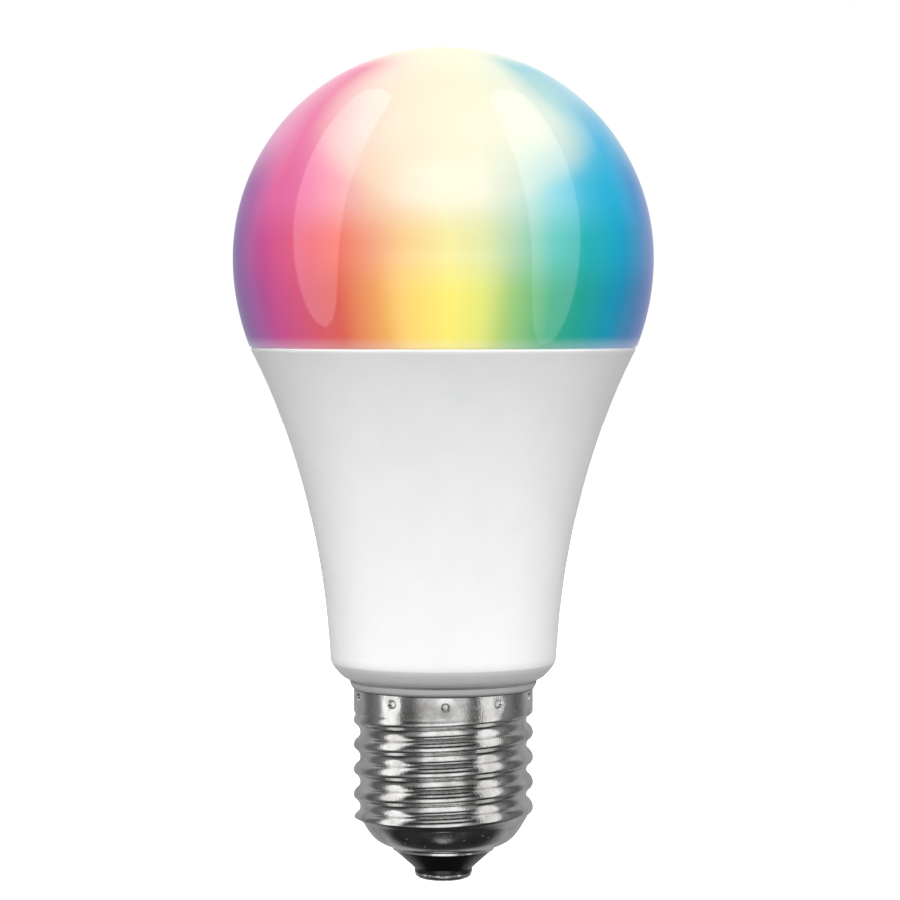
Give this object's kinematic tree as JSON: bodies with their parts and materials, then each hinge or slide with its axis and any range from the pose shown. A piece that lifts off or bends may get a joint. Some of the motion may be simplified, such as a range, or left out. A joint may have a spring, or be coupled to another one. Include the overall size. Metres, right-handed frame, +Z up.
{
  "type": "smart light bulb",
  "caption": "A60 smart bulb: glossy colour-lit globe diffuser on a flared white housing with an E27 screw cap; driver, LEDs and radio inside.",
  "frame": {"origin": "the flat tip of the centre contact, on the bulb's axis", "axes": "+Z up the bulb's axis from the screw cap to the top of the globe; -Y is the front, which the driver board faces; +X to the right"},
  "size_m": [0.061, 0.061, 0.121],
  "materials": {
    "opal_diffuser": "glossy opal, lit from inside by bands of colour",
    "white_housing": "satin",
    "nickel_plate": "bright nickel plate, grainy from stamping",
    "black_glass": "glossy",
    "tinned_contact": "dull solder",
    "silicone": "matte",
    "pressed_aluminium": "as pressed",
    "thermal_pad": "matte",
    "white_board": "white solder mask",
    "screw_steel": "zinc plated",
    "cool_led": "satin phosphor",
    "warm_led": "satin phosphor",
    "colour_led": "clear gel over dark dies",
    "white_moulding": "satin",
    "green_board": "solder mask",
    "insulating_film": "satin film",
    "black_moulding": "satin",
    "capacitor_sleeve": "shrink sleeve",
    "copper_winding": "enamelled copper",
    "ferrite": "matte",
    "yellow_tape": "polyester tape",
    "film_box": "moulded box",
    "blue_epoxy": "dipped epoxy",
    "blue_board": "solder mask",
    "tinned_shield": "tinned",
    "red_insulation": "satin",
    "copper_lead": "bare copper"
  },
  "bodies": {
    "root": {"diffuser": "opal_diffuser", "housing": "white_housing", "screw_shell": "nickel_plate", "cap_insulator": "black_glass", "centre_contact": "tinned_contact", "diffuser_sealant": "silicone", "heat_sink": "pressed_aluminium", "thermal_pad": "thermal_pad", "led_board": "white_board", "board_connector": "white_moulding", "driver_board": "green_board", "driver_sleeve": "insulating_film", "pin_header": "black_moulding", "input_capacitor": "capacitor_sleeve", "output_capacitor": "capacitor_sleeve", "emi_inductor": "copper_winding", "transformer_core": "ferrite", "transformer_winding": "yellow_tape", "film_capacitor": "film_box", "fuse_resistor": "blue_epoxy", "varistor": "blue_epoxy", "bridge_rectifier": "black_moulding", "driver_chip": "black_moulding", "led_driver_chip": "black_moulding", "radio_module": "blue_board", "radio_shield": "tinned_shield", "live_lead": "red_insulation", "neutral_lead": "copper_lead", "board_screw_1": "screw_steel", "board_screw_2": "screw_steel", "board_screw_3": "screw_steel", "cool_led_1": "cool_led", "cool_led_2": "cool_led", "cool_led_3": "cool_led", "cool_led_4": "cool_led", "cool_led_5": "cool_led", "cool_led_6": "cool_led", "warm_led_1": "warm_led", "warm_led_2": "warm_led", "warm_led_3": "warm_led", "warm_led_4": "warm_led", "warm_led_5": "warm_led", "warm_led_6": "warm_led", "rgb_led_1": "colour_led", "rgb_led_2": "colour_led", "rgb_led_3": "colour_led", "rgb_led_4": "colour_led"}
  },
  "joints": []
}
